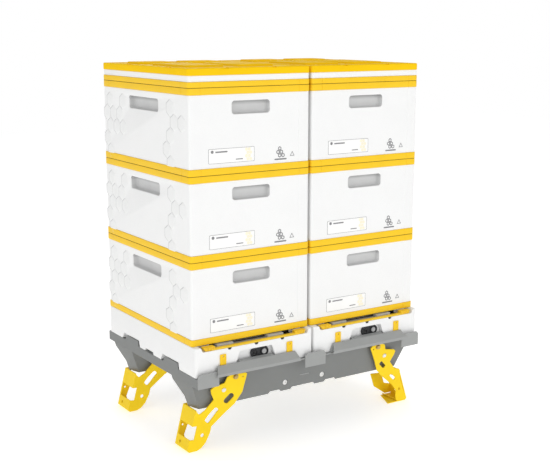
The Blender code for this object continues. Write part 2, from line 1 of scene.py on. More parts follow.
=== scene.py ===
"""Looks for the twin beehive: fine surfaces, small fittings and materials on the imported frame.

Lengths are millimetres unless a name says otherwise, and become metres when a mesh is made.
A hive's own shapes are drawn round its centre line, with the box's underside at height 0.
"""
import math

import bmesh
import bpy
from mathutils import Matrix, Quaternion, Vector


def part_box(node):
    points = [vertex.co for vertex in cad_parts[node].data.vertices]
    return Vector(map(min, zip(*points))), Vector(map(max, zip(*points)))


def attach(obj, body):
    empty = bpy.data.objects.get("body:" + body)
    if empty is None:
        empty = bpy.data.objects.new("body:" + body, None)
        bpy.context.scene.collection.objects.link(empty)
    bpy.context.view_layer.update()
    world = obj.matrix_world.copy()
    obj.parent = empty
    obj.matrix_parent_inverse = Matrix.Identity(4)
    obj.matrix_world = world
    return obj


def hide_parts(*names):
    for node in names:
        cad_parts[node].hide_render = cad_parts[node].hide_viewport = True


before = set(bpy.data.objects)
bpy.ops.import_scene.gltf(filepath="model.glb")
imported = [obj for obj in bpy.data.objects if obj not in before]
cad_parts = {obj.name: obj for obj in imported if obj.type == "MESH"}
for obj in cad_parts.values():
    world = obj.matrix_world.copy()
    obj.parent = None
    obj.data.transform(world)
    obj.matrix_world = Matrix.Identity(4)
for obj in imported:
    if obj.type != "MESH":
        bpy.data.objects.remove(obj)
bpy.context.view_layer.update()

MM = 0.001
SIDES = ("left", "right")
ENDS = ("front", "rear")
LEVELS = (1, 2, 3)

# ---- sizes that the frame gives ----------------------------------------------------
low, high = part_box("box_rim_lower_left_1")
BOX_X = (high.x - low.x) / MM
BOX_Y = (high.y - low.y) / MM
Y0 = (high.y + low.y) / 2 / MM
Z0 = low.z / MM
BOX_H = (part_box("box_rim_upper_left_1")[1].z - low.z) / MM
RIM_H = (high.z - low.z) / MM
HIVE_X = {s: sum(p.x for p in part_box("box_rim_lower_%s_1" % s)) / 2 / MM for s in SIDES}
ROOF_FOAM_TOP = (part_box("roof_cover_left")[0].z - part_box("roof_rim_left")[0].z) / MM
ROOF_RIM_H = (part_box("roof_rim_left")[1].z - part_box("roof_rim_left")[0].z) / MM
BASE_LOW, BASE_HIGH = (p / MM - Vector((0.0, Y0, Z0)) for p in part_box("base_body_left"))

# ---- sizes of the fine surface -----------------------------------------------------
WALL = 49.0              # thickness of a box's foam wall
CORNER_R = 9.0           # rounding of the boxes' upright corners
LEAST_R = 5.0            # and the least that an inset outline keeps of it
CORNER_STEPS = 8
RIM_T = 3.0              # sheet thickness of an edge guard
RIM_INNER_H = 10.0       # height of its lip inside the box
FIT = 0.35               # gap between pieces that touch
FOAM_INSET = 1.5         # how far the foam lies behind the edge guards' faces
FOAM_EASE = 0.7          # chamfer of the foam beside an edge guard
HANDLE_Z = 187.5         # middle of the handles above the box's underside
HANDLE_H = 37.0
HANDLE_FRONT = 127.0
HANDLE_SIDE = 190.0
HANDLE_DEPTH = 22.0
HANDLE_R = 9.0
HANDLE_LIP = 0.9         # depth at which a handle's painted shade begins
SPLIT_X, SPLIT_Y = 166.0, 236.0      # the edge guards' corner pieces end here
SPLIT_W, SPLIT_DEEP = 0.45, 0.6      # half width and depth of the joint line there
FIELD_X = 164.0          # the boxes' faces are set back a little between these
FIELD_DEEP = 0.5
ROOF_TOP = 53.5          # flat of the roof's cover above the roof's edge guard
COVER_T = 3.0
PAST = 5.0               # how far a cutter reaches past the surface it cuts


# ---- materials ---------------------------------------------------------------------
def node_of(tree, kind, **sockets):
    """Add a shader node and set its inputs by name."""
    node = tree.nodes.new(kind)
    for name, value in sockets.items():
        node.inputs[name.replace("_", " ")].default_value = value
    return node


def tint(color, factor):
    """Lighten or darken a colour, and add its alpha."""
    return tuple(min(1.0, c * factor) for c in color) + (1.0,)


def multiplied(tree, tone, factor):
    """Multiply a colour socket by a value socket, and return the product's socket."""
    shade = tree.nodes.new("ShaderNodeMixRGB")
    shade.blend_type = "MULTIPLY"
    shade.inputs["Fac"].default_value = 1.0
    tree.links.new(tone, shade.inputs["Color1"])
    tree.links.new(factor, shade.inputs["Color2"])
    return shade.outputs["Color"]


def surface(name, color, rough, metallic=0.0, mottle=0.04, mottle_scale=14.0, grain=0.15,
            grain_scale=900.0, grain_depth=0.0002, spread=0.08, beads=False, specular=0.5):
    """Principled material with colour mottling, uneven roughness and a fine bumpy grain.

    With beads, the grain is the cell pattern of moulded foam, and darkens the colour a little.
    """
    mat = bpy.data.materials.new(name)
    mat.use_nodes = True
    tree = mat.node_tree
    link = tree.links.new
    shader = tree.nodes["Principled BSDF"]
    shader.inputs["Metallic"].default_value = metallic
    shader.inputs["Specular IOR Level"].default_value = specular
    coord = tree.nodes.new("ShaderNodeTexCoord")

    cloud = node_of(tree, "ShaderNodeTexNoise", Scale=mottle_scale, Detail=3.0, Roughness=0.55)
    link(coord.outputs["Object"], cloud.inputs["Vector"])
    ramp = tree.nodes.new("ShaderNodeValToRGB")
    ramp.color_ramp.elements[0].position = 0.30
    ramp.color_ramp.elements[0].color = tint(color, 1.0 - mottle)
    ramp.color_ramp.elements[1].position = 0.70
    ramp.color_ramp.elements[1].color = tint(color, 1.0 + mottle)
    link(cloud.outputs["Fac"], ramp.inputs["Fac"])
    tone = ramp.outputs["Color"]

    if beads:
        cells = node_of(tree, "ShaderNodeTexVoronoi", Scale=grain_scale)
        cells.feature = "DISTANCE_TO_EDGE"
        edge = tree.nodes.new("ShaderNodeMapRange")
        edge.inputs["From Max"].default_value = 0.12
        edge.inputs["To Min"].default_value = 0.965
        link(cells.outputs["Distance"], edge.inputs["Value"])
        tone = multiplied(tree, tone, edge.outputs["Result"])
        height = cells.outputs["Distance"]
    else:
        cells = node_of(tree, "ShaderNodeTexNoise", Scale=grain_scale, Detail=2.0)
        height = cells.outputs["Fac"]
    link(coord.outputs["Object"], cells.inputs["Vector"])
    link(tone, shader.inputs["Base Color"])

    bump = node_of(tree, "ShaderNodeBump", Strength=grain, Distance=grain_depth)
    link(height, bump.inputs["Height"])
    link(bump.outputs["Normal"], shader.inputs["Normal"])

    uneven = tree.nodes.new("ShaderNodeMapRange")
    uneven.inputs["To Min"].default_value = rough - spread
    uneven.inputs["To Max"].default_value = rough + spread
    link(cloud.outputs["Fac"], uneven.inputs["Value"])
    link(uneven.outputs["Result"], shader.inputs["Roughness"])
    return mat


def shade_towards_top(mat, low_z, high_z, dark):
    """Darken a material between two heights of its object, given in metres, as painted shade."""
    tree = mat.node_tree
    shader = tree.nodes["Principled BSDF"]
    tone = shader.inputs["Base Color"].links[0].from_socket
    coord = tree.nodes.new("ShaderNodeTexCoord")
    split = tree.nodes.new("ShaderNodeSeparateXYZ")
    tree.links.new(coord.outputs["Object"], split.inputs["Vector"])
    depth = tree.nodes.new("ShaderNodeMapRange")
    depth.inputs["From Min"].default_value = low_z
    depth.inputs["From Max"].default_value = high_z
    depth.inputs["To Min"].default_value = 1.0
    depth.inputs["To Max"].default_value = dark
    tree.links.new(split.outputs["Z"], depth.inputs["Value"])
    tree.links.new(multiplied(tree, tone, depth.outputs["Result"]), shader.inputs["Base Color"])


FOAM = surface("foam", (0.885, 0.888, 0.885), 0.62, mottle=0.012, mottle_scale=9.0,
               grain=0.35, grain_scale=330.0, grain_depth=0.0006, beads=True, specular=0.3)
# darker foam painted into the handle recesses as their shade, darker still towards each recess's top
# as a painted shadow
HANDLE_PAINTED_SHADE = surface("foam_recess_painted_shade", (0.69, 0.692, 0.69), 0.70, mottle=0.03, mottle_scale=22.0,
                 grain=0.3, grain_scale=330.0, grain_depth=0.0005, beads=True, specular=0.2)
shade_towards_top(HANDLE_PAINTED_SHADE, 0.193, 0.2065, 0.50)
RELIEF = surface("foam_relief", (0.86, 0.865, 0.86), 0.62, mottle=0.02, grain=0.3,
                 grain_scale=330.0, grain_depth=0.0005, beads=True, specular=0.3)
# darker foam painted on the cells' rear slopes as their shade
SLOPE_PAINTED_SHADE = surface("foam_slope_painted_shade", (0.64, 0.645, 0.645), 0.68, mottle=0.03, mottle_scale=40.0,
                 grain=0.3, grain_scale=260.0, specular=0.2)
GUARD = surface("guard_yellow", (0.92, 0.585, 0.014), 0.46, mottle=0.03, mottle_scale=11.0,
                grain=0.25, grain_scale=1400.0, grain_depth=0.00015, specular=0.25)
COVER = surface("cover_yellow", (0.95, 0.595, 0.008), 0.58, mottle=0.03, mottle_scale=8.0,
                grain=0.35, grain_scale=1100.0, grain_depth=0.0002, specular=0.03)
CLIP = surface("clip_yellow", (0.88, 0.58, 0.03), 0.50, mottle=0.06, mottle_scale=40.0,
               grain=0.4, grain_scale=1500.0, grain_depth=0.0003, specular=0.3)
# dark brown painted into the groove between boxes as the joint's shadow
JOINT_PAINTED_SHADOW = surface("joint_painted_shadow", (0.16, 0.10, 0.02), 0.70, mottle=0.06, mottle_scale=60.0,
               grain=0.2, grain_scale=1500.0, specular=0.1)
SHUTTER = surface("shutter_grey", (0.40, 0.405, 0.405), 0.48, mottle=0.04, mottle_scale=30.0,
                  grain=0.25, grain_scale=1500.0, grain_depth=0.00015)
BEZEL = surface("bezel_dark", (0.030, 0.031, 0.034), 0.50, mottle=0.08, mottle_scale=50.0,
                grain=0.35, grain_scale=1800.0, grain_depth=0.0002, specular=0.3)
STEEL_GREY = surface("stand_powder_coat", (0.204, 0.211, 0.207), 0.50, mottle=0.035,
                     mottle_scale=10.0, grain=0.35, grain_scale=700.0, grain_depth=0.0003,
                     specular=0.35)
# lighter copy of the stand's grey, painting the light that falls on the fascias' upturned ramps
STEEL_GREY_PAINTED_LIT = surface("stand_powder_coat_painted_light", (0.335, 0.343, 0.338), 0.50, mottle=0.035,
                      mottle_scale=10.0, grain=0.35, grain_scale=700.0, grain_depth=0.0003,
                      specular=0.35)
STEEL_YELLOW = surface("leg_powder_coat", (0.96, 0.67, 0.014), 0.46, mottle=0.03,
                       mottle_scale=16.0, grain=0.3, grain_scale=800.0, grain_depth=0.0003,
                       specular=0.14)
PLATED = surface("yellow_passivate", (0.50, 0.36, 0.14), 0.34, metallic=1.0, mottle=0.12,
                 mottle_scale=180.0, grain=0.2, grain_scale=2600.0, grain_depth=0.0001)
ZINC = surface("zinc_plate", (0.80, 0.80, 0.79), 0.38, metallic=0.6, mottle=0.06,
               mottle_scale=180.0, grain=0.2, grain_scale=2600.0, grain_depth=0.0001)
WIRE = surface("vent_wire", (0.035, 0.035, 0.038), 0.50, metallic=0.3, mottle=0.1,
               mottle_scale=200.0, grain=0.2, grain_scale=3000.0, grain_depth=0.0001,
               specular=0.2)
CARD = surface("card_white", (0.93, 0.93, 0.92), 0.50, mottle=0.01, mottle_scale=30.0,
               grain=0.15, grain_scale=2400.0, grain_depth=0.0001)
INK = surface("print_grey", (0.22, 0.22, 0.23), 0.55, mottle=0.06, mottle_scale=120.0,
              grain=0.15, grain_scale=2400.0, grain_depth=0.0001)
PALE = surface("print_straw", (0.92, 0.86, 0.66), 0.52, mottle=0.05, mottle_scale=90.0,
               grain=0.15, grain_scale=2400.0, grain_depth=0.0001)


# ---- outlines ----------------------------------------------------------------------
def rounded(hx, hy, r, cx=0.0, cy=0.0, steps=CORNER_STEPS):
    """Rounded rectangle of half sizes hx and hy, anticlockwise from its right side."""
    r = min(r, hx, hy)
    points = []
    for k, (sx, sy) in enumerate(((1, 1), (-1, 1), (-1, -1), (1, -1))):
        for i in range(steps + 1):
            a = math.pi / 2 * (k + i / steps)
            points.append((cx + sx * (hx - r) + r * math.cos(a),
                           cy + sy * (hy - r) + r * math.sin(a)))
    return points


def polygon(r, n, cx=0.0, cy=0.0, turn=0.0):
    """Regular polygon, or a circle when n is large."""
    return [(cx + r * math.cos(turn + math.tau * i / n), cy + r * math.sin(turn + math.tau * i / n))
            for i in range(n)]


def stadium(length, height, cx=0.0, cy=0.0):
    """Slot outline with round ends."""
    return rounded(length / 2, height / 2, height / 2, cx, cy, 10)


def box_loop(inset, z, least_r=LEAST_R):
    """A box's plan outline, set in evenly, at a height."""
    r = max(CORNER_R - inset, least_r)
    return [(x, y, z) for x, y in rounded(BOX_X / 2 - inset, BOX_Y / 2 - inset, r)]


def eased(points, r, steps=3):
    """Round every corner of a closed outline with a short arc of about radius r."""
    made = []
    n = len(points)
    for i in range(n):
        before, corner, after = (Vector(points[(i + k) % n]) for k in (-1, 0, 1))
        into, out = corner - before, after - corner
        cut_back = min(r, into.length * 0.45, out.length * 0.45)
        start = corner - into.normalized() * cut_back
        end = corner + out.normalized() * cut_back
        for k in range(steps + 1):
            t = k / steps
            made.append(tuple(start * (1 - t) ** 2 + corner * (2 * t * (1 - t)) + end * t ** 2))
    return made


# ---- meshes ------------------------------------------------------------------------
def build(name, verts, faces):
    """Make an object from millimetre points, with its faces turned outwards."""
    mesh = bpy.data.meshes.new(name)
    mesh.from_pydata([tuple(Vector(v) * MM) for v in verts], [], faces)
    bm = bmesh.new()
    bm.from_mesh(mesh)
    bmesh.ops.recalc_face_normals(bm, faces=bm.faces)
    bm.to_mesh(mesh)
    bm.free()
    obj = bpy.data.objects.new(name, mesh)
    bpy.context.scene.collection.objects.link(obj)
    return obj


def loft(name, loops, closed=False):
    """Skin a row of equal point loops. Open rows get a cap at each end."""
    n, m = len(loops[0]), len(loops)
    faces = [] if closed else [tuple(range(n)), tuple(range((m - 1) * n, m * n))]
    for j in range(m if closed else m - 1):
        k = (j + 1) % m
        for i in range(n):
            h = (i + 1) % n
            faces.append((j * n + i, j * n + h, k * n + h, k * n + i))
    return build(name, [v for loop in loops for v in loop], faces)


def place(point, axis, along):
    """Put a 2D point in the plane across an axis."""
    u, v = point
    return {"x": (along, u, v), "y": (u, along, v), "z": (u, v, along)}[axis]


def prism(name, points, axis, lo, hi):
    """Extrude an outline along an axis."""
    return loft(name, [[place(p, axis, h) for p in points] for h in (lo, hi)])


def soft_prism(name, outline, axis, lo, hi, edge):
    """Extrude an outline with rounded edges at both ends; outline(grow) gives it grown."""
    loops = []
    for sign, end in ((1, lo), (-1, hi)):
        arc = [math.pi / 2 * i / 3 for i in range(4)]
        if sign < 0:
            arc.reverse()
        for a in arc:
            inset = edge * (1 - math.sin(a))
            along = end + sign * edge * (1 - math.cos(a))
            loops.append([place(p, axis, along) for p in outline(-inset)])
    return loft(name, loops)


def ring(name, profile):
    """Sweep a closed (inset, height) profile round a box's plan outline."""
    return loft(name, [box_loop(inset, z) for inset, z in profile], closed=True)


def spun(name, profile, n):
    """Spin an (along, radius) profile about the Y axis, closed at both ends."""
    return loft(name, [[place(p, "y", h) for p in polygon(r, n)] for h, r in profile])


def join(name, parts):
    """Join objects into one, keeping each part's own material."""
    bm = bmesh.new()
    materials = []
    for part in parts:
        shift = {}
        for i, mat in enumerate(part.data.materials):
            if mat not in materials:
                materials.append(mat)
            shift[i] = materials.index(mat)
        start = len(bm.faces)
        bm.from_mesh(part.data)
        bm.faces.ensure_lookup_table()
        for face in bm.faces[start:]:
            face.material_index = shift.get(face.material_index, 0)
        bpy.data.objects.remove(part, do_unlink=True)
    mesh = bpy.data.meshes.new(name)
    bm.to_mesh(mesh)
    bm.free()
    for mat in materials:
        mesh.materials.append(mat)
    obj = bpy.data.objects.new(name, mesh)
    bpy.context.scene.collection.objects.link(obj)
    return obj


def boolean(target, tools, operation="DIFFERENCE"):
    """Apply an exact boolean with each tool, which is used up."""
    for tool in tools:
        mod = target.modifiers.new("boolean", "BOOLEAN")
        mod.operation = operation
        mod.solver = "EXACT"
        mod.object = tool
        graph = bpy.context.evaluated_depsgraph_get()
        made = bpy.data.meshes.new_from_object(target.evaluated_get(graph))
        target.modifiers.clear()
        target.data = made
        bpy.data.objects.remove(tool, do_unlink=True)
    return target


def painted(obj, mat, sharp=32.0):
    """Give an object one material and smooth shading with crisp corners."""
    obj.data.materials.clear()
    obj.data.materials.append(mat)
    obj.data.shade_smooth()
    obj.data.set_sharp_from_angle(angle=math.radians(sharp))
    return obj


def softened(obj, width):
    """Round an object's corners, and let its flat faces stay flat."""
    bevel = obj.modifiers.new("bevel", "BEVEL")
    bevel.width = width * MM
    bevel.segments = 2
    bevel.limit_method = "ANGLE"
    bevel.angle_limit = math.radians(28)
    bevel.miter_outer = "MITER_ARC"
    normals = obj.modifiers.new("normals", "WEIGHTED_NORMAL")
    normals.keep_sharp = False
    return obj


def refined(name, node, mat, width):
    """Copy a CAD node's shape with rounded edges, as a piece that stands for it."""
    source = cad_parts[node]
    obj = bpy.data.objects.new(name, source.data.copy())
    bpy.context.scene.collection.objects.link(obj)
    bm = bmesh.new()
    bm.from_mesh(obj.data)
    bmesh.ops.remove_doubles(bm, verts=bm.verts, dist=0.00002)
    bmesh.ops.dissolve_limit(bm, angle_limit=math.radians(0.6), verts=bm.verts, edges=bm.edges)
    bmesh.ops.recalc_face_normals(bm, faces=bm.faces)
    bm.to_mesh(obj.data)
    bm.free()
    return softened(painted(obj, mat, 180.0), width)


def put(name, pattern, body, slot, *nodes, at=(0.0, 0.0, 0.0)):
    """Place a copy of a pattern (its mesh is shared) and tie it to its body."""
    obj = bpy.data.objects.new(name, pattern.data)
    bpy.context.scene.collection.objects.link(obj)
    obj.location = Vector(at) * MM
    return tie(obj, body, slot, *nodes)


def tie(obj, body, slot, *nodes):
    """Make a piece ride on a body and stand for CAD nodes; the slot is not used."""
    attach(obj, body)
    if nodes:
        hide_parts(*nodes)
    return obj


def drop(*patterns):
    """Take away patterns whose copies have been placed."""
    for pattern in patterns:
        bpy.data.objects.remove(pattern, do_unlink=True)


# ---- hive box ----------------------------------------------------------------------
def pocket(width, axis, face, direction):
    """Cutter for a recessed handle, flared at its mouth and rounded at its floor."""
    steps = ((-4.0, 2.2), (0.0, 2.2), (0.5, 1.1), (1.3, 0.4), (2.6, 0.0),
             (HANDLE_DEPTH - 8.0, 0.0), (HANDLE_DEPTH - 3.6, -0.9), (HANDLE_DEPTH - 1.4, -2.8),
             (HANDLE_DEPTH - 0.3, -6.0))
    loops = []
    for depth, grow in steps:
        outline = rounded(width / 2 + grow, HANDLE_H / 2 + grow, HANDLE_R + grow, 0.0, HANDLE_Z)
        loops.append([place(p, axis, face + direction * depth) for p in outline])
    return loft("pocket", loops)


def foam_face(low_z, high_z):
    """Profile of the foam's outer face between two edge guards, eased at both ends."""
    return [(FOAM_INSET + FOAM_EASE, low_z), (FOAM_INSET, low_z + FOAM_EASE),
            (FOAM_INSET, high_z - FOAM_EASE), (FOAM_INSET + FOAM_EASE, high_z)]


def foam_box():
    """Walls of a box, with handle recesses painted darker as their shade, and a slightly sunk field on
    front and back.
    """
    a, b = RIM_T + FIT, WALL - RIM_T - FIT
    rim_low, rim_high = RIM_H + FIT, BOX_H - RIM_H - FIT
    in_low, in_high = RIM_INNER_H + FIT, BOX_H - RIM_INNER_H - FIT
    profile = [(a, a), (a, rim_low), *foam_face(rim_low, rim_high), (a, rim_high),
               (a, BOX_H - a), (b, BOX_H - a), (b, in_high), (WALL, in_high), (WALL, in_low),
               (b, in_low), (b, a)]
    box = ring("foam_box", profile)
    hx, hy = BOX_X / 2 - FOAM_INSET, BOX_Y / 2 - FOAM_INSET
    tools = [pocket(HANDLE_FRONT, "y", -hy, 1), pocket(HANDLE_FRONT, "y", hy, -1),
             pocket(HANDLE_SIDE, "x", -hx, 1), pocket(HANDLE_SIDE, "x", hx, -1)]
    field = [(-FIELD_X, -PAST), (FIELD_X, -PAST), (FIELD_X, BOX_H + PAST), (-FIELD_X, BOX_H + PAST)]
    for near, far in ((-hy - PAST, -hy + FIELD_DEEP), (hy - FIELD_DEEP, hy + PAST)):
        tools.append(prism("field", field, "y", near, far))
    painted(boolean(box, tools), FOAM)
    # the faces deep inside each handle recess take the darker foam: painted shade of the recess
    box.data.materials.append(HANDLE_PAINTED_SHADE)
    slack = 0.6
    for face in box.data.polygons:
        x, y, z = (abs(c) for c in face.center / MM - Vector((0.0, 0.0, HANDLE_Z)))
        in_front = x < HANDLE_FRONT / 2 + slack and HANDLE_LIP < hy - y < HANDLE_DEPTH + 1.0
        in_side = y < HANDLE_SIDE / 2 + slack and HANDLE_LIP < hx - x < HANDLE_DEPTH + 1.0
        if z < HANDLE_H / 2 + slack and (in_front or in_side):
            face.material_index = 1
    return box


def edge_guard(name, height):
    """Channel edge guard, drawn with its web at height 0 and its lips upwards."""
    t = RIM_T
    corners = [(0, 0), (0, height), (t, height), (t, t), (WALL - t, t),
               (WALL - t, RIM_INNER_H), (WALL, RIM_INNER_H), (WALL, 0)]
    guard = ring(name, eased(corners, 2.2))
    tools = []
    w = SPLIT_W
    for s in (-1, 1):
        x_near, x_far = s * (BOX_X / 2 - SPLIT_DEEP), s * (BOX_X / 2 + PAST)
        for q in (-1, 1):
            y_near, y_far = q * (BOX_Y / 2 - SPLIT_DEEP), q * (BOX_Y / 2 + PAST)
            x, y = s * SPLIT_X, q * SPLIT_Y
            for outline in ([(x - w, y_near), (x + w, y_near), (x + w, y_far), (x - w, y_far)],
                            [(x_near, y - w), (x_near, y + w), (x_far, y + w), (x_far, y - w)]):
                tools.append(prism("split", outline, "z", -PAST, height + PAST))
    return painted(boolean(guard, tools), GUARD)


def joint_shade_band():
    """Thin dark band in the groove above a piece's edge guard, a painted shadow of the joint's gap,
    drawn round height 0.
    """
    outline = [(0.5, -1.3), (4.0, -1.3), (4.0, 0.4), (0.5, 0.4)]
    return painted(ring("joint_band", eased(outline, 0.2)), JOINT_PAINTED_SHADOW)


def flipped(pattern, name, height):
    """Mirror a pattern in height, so that its lips point down."""
    mesh = pattern.data.copy()
    for v in mesh.vertices:
        v.co.z = height * MM - v.co.z
    mesh.flip_normals()
    obj = bpy.data.objects.new(name, mesh)
    bpy.context.scene.collection.objects.link(obj)
    return obj


COMB_W = 46.0            # flat-to-flat width of a honeycomb cell
COMB_ROW = 39.8          # height from one row to the next
COMB_TOP_Z = 185.0       # middle of the top row
COMB_EDGE = ((0.2, -0.6), (0.4, 0.15), (2.6, 0.85), (4.6, 1.3), (5.8, 1.4))   # (inset, height)
COMB_CELLS = (
    # where each end's group starts along Y, and its cells as (half columns, row)
    (-214.0, ((2, 0), (-1, 1), (1, 1), (2, 2), (3, 3), (2, 4))),
    (165.0, ((-1, 0), (3, 0), (0, 1), (2, 1), (4, 1), (-1, 2), (1, 2), (3, 2), (3, 4), (4, 3))),
)


def comb_relief():
    """Raised honeycomb cells with sloping edges, on both sides of a box; the rear slopes are painted
    darker as their shade.
    """
    parts = []
    face = BOX_X / 2 - FOAM_INSET
    outer = COMB_W / math.sqrt(3.0)
    cells = [(start + half * COMB_W / 2, COMB_TOP_Z - row * COMB_ROW)
             for start, group in COMB_CELLS for half, row in group]
    for side in (-1, 1):
        for y, z in cells:
            loops = []
            for inset, out in COMB_EDGE:
                hexagon = eased(polygon(outer - inset, 6, y, z, math.pi / 6), 2.5)
                loops.append([(side * (face + out), u, v) for u, v in hexagon])
            parts.append(loft("cell", loops))
    comb = painted(join("comb", parts), RELIEF, 50.0)
    comb.data.materials.append(SLOPE_PAINTED_SHADE)
    for slope in comb.data.polygons:
        if slope.normal.y > 0.07:        # the slopes on the rear side of each cell, painted darker as their shade
            slope.material_index = 1
    return comb


FIELD_Y = -BOX_Y / 2 + FOAM_INSET + FIELD_DEEP       # the sunk field on a box's front
CARD_X, CARD_Z = (-141.0, 11.0), (32.0, 74.0)
PRINT_SINK = 0.3         # how far cards and marks are let into the foam


def name_card():
    """Blank write-on card in a thin frame, with a hexagon, ruled marks and a straw band."""
    face = FIELD_Y
    (x0, x1), (z0, z1) = CARD_X, CARD_Z
    cx, cz = (x0 + x1) / 2, (z0 + z1) / 2
    hx, hz = (x1 - x0) / 2, (z1 - z0) / 2

    def plate(outline, low_out, high_out, mat):
        part = prism("plate", outline, "y", face - high_out, face - low_out)
        part.data.materials.append(mat)
        return part

    def ink(outline):
        return plate(outline, 0.25, 0.42, INK)

    loops = []
    for inset, out in ((0.0, -PRINT_SINK), (0.2, 0.5), (0.9, 0.5), (1.1, -PRINT_SINK)):
        outline = rounded(hx - inset, hz - inset, 2.5, cx, cz, 3)
        loops.append([(x, face - out, z) for x, z in outline])
    border = loft("border", loops, closed=True)
    border.data.materials.append(INK)
    parts = [border,
             plate(rounded(hx - 1.0, hz - 1.0, 1.6, cx, cz, 3), -PRINT_SINK, 0.3, CARD),
             ink(polygon(5.0, 6, x0 + 12.0, z1 - 8.5, math.pi / 6)),
             ink(rounded(20.0, 2.0, 1.8, x0 + 42.0, z1 - 9.5, 2)),
             ink(rounded(12.0, 1.4, 1.2, x0 + 101.0, z0 + 9.0, 2))]
    pitch_x, pitch_z = 9.6, 9.4
    for row in range(4):
        for col in range(2):
            x = x1 - 27.0 + (col + (row % 2) / 2) * pitch_x
            z = z1 - 6.6 - row * pitch_z
            parts.append(plate(polygon(5.2, 6, x, z, math.pi / 6), 0.25, 0.4, PALE))
    return join("card", parts)


def emblem():
    """Generic mark: a cluster of honeycomb cells over a bar, and an open triangle."""
    high = 0.4
    parts = []

    def outline_ring(n, r, cx, cz, width, turn):
        loops = []
        for off, out in ((0.0, -PRINT_SINK), (-0.2, high), (-width + 0.2, high),
                         (-width, -PRINT_SINK)):
            loops.append([(x, FIELD_Y - out, z) for x, z in polygon(r + off, n, cx, cz, turn)])
        parts.append(loft("mark", loops, closed=True))

    pitch_x, pitch_z = 11.8, 10.2
    for half_columns, row in ((0, 0), (2, 0), (1, 1), (-1, 1), (0, 2)):
        outline_ring(6, 6.5, 98.0 + half_columns * pitch_x / 2, 42.0 + row * pitch_z, 3.1,
                     math.pi / 6)
    outline_ring(3, 9.6, 142.0, 43.0, 3.4, math.pi / 2)
    parts.append(prism("bar", rounded(21.0, 2.1, 1.9, 101.0, 31.0, 3), "y", FIELD_Y - high,
                       FIELD_Y + PRINT_SINK))
    return painted(join("emblem", parts), INK, 20.0)


# ---- roof --------------------------------------------------------------------------
PAD_W, PAD_R = 64.0, 16.0            # half width and corner radius of the roof's pads
PADS = ((-63.0, 112.0), (178.0, 48.0))           # (middle along Y, half length)
PAD_X = 86.0
PAD_EDGE = ((0.0, -3.0), (0.0, -1.2), (0.9, 1.4), (2.2, 3.0), (3.6, 3.8), (5.6, 4.0))
STRAP_X = (-80.0, 80.0)              # strap notches in the front and rear edges
STRAP_Y = (-170.0, 90.0)             # and in the side edges
STRAP_DEEP = 2.6


def roof_slab():
    """Foam of a roof, under its cover and inside its edge guard."""
    a, b = RIM_T + FIT, WALL - RIM_T - FIT
    low_z, high_z = ROOF_RIM_H + FIT, ROOF_FOAM_TOP - FIT
    steps = [(b, RIM_INNER_H + FIT), (b, a), (a, a), (a, low_z), *foam_face(low_z, high_z),
             (a, high_z), (a, ROOF_TOP - COVER_T - FIT)]
    return painted(loft("roof_slab", [box_loop(inset, z) for inset, z in steps]), FOAM)


def roof_cap():
    """Cover with a rounded rim, a shallow well, four raised pads and strap notches."""
    t = COVER_T
    steps = [(t, ROOF_TOP - t), (t, ROOF_FOAM_TOP), (0.5, ROOF_FOAM_TOP), (0.0, ROOF_FOAM_TOP + 0.5),
             (0.0, ROOF_TOP - 3.4), (0.5, ROOF_TOP - 1.6), (1.6, ROOF_TOP - 0.5), (3.4, ROOF_TOP),
             (10.0, ROOF_TOP), (11.0, ROOF_TOP - 0.3), (12.2, ROOF_TOP - 1.5), (13.2, ROOF_TOP - 1.8)]
    cap = loft("cap", [box_loop(inset, z, 4.0) for inset, z in steps])
    pads = []
    for y_mid, half in PADS:
        for x_mid in (-PAD_X, PAD_X):
            loops = []
            for inset, z in PAD_EDGE:
                outline = rounded(PAD_W - inset, half - inset, PAD_R - inset, x_mid, y_mid)
                loops.append([(x, y, ROOF_TOP + z) for x, y in outline])
            pads.append(loft("pad", loops))
    boolean(cap, pads, "UNION")
    notches = []
    for s in (-1, 1):
        outlines = [rounded(7.0, 9.0, 3.0, x, s * BOX_Y / 2, 4) for x in STRAP_X]
        outlines += [rounded(9.0, 12.0, 3.0, s * BOX_X / 2, y, 4) for y in STRAP_Y]
        for outline in outlines:
            notches.append(prism("notch", outline, "z", ROOF_TOP - STRAP_DEEP, ROOF_TOP + 9.0))
    return painted(boolean(cap, notches), COVER)


# ---- base --------------------------------------------------------------------------
RECESS_Y = -286.0                    # back of the recess round the entrance
BEZEL_X, BEZEL_Z = 19.0, -47.0       # middle of the entrance's frame
BEZEL_LEN, BEZEL_H = 62.0, 31.0
DISC_R, DISC_TRAVEL = 10.6, 15.6     # the shutter, and half of its way between the ends
VENT_BACK_Y = -229.0                 # where the entrance and the vent open into the cavity
DRAIN_X = (-90.0, 2.0, 94.0)         # notches under the vent
LATCH_X = (("a", -114.0), ("b", 118.0))
SIDE_NOTCHES = (
    [(-204.0, -95.0), (-198.0, -67.0), (-95.0, -67.0), (-80.0, -95.0)],
    [(-39.0, -95.0), (-33.0, -79.0), (18.0, -79.0), (27.0, -95.0)],
    [(56.0, -95.0), (64.0, -67.0), (172.0, -67.0), (190.0, -95.0)],
)


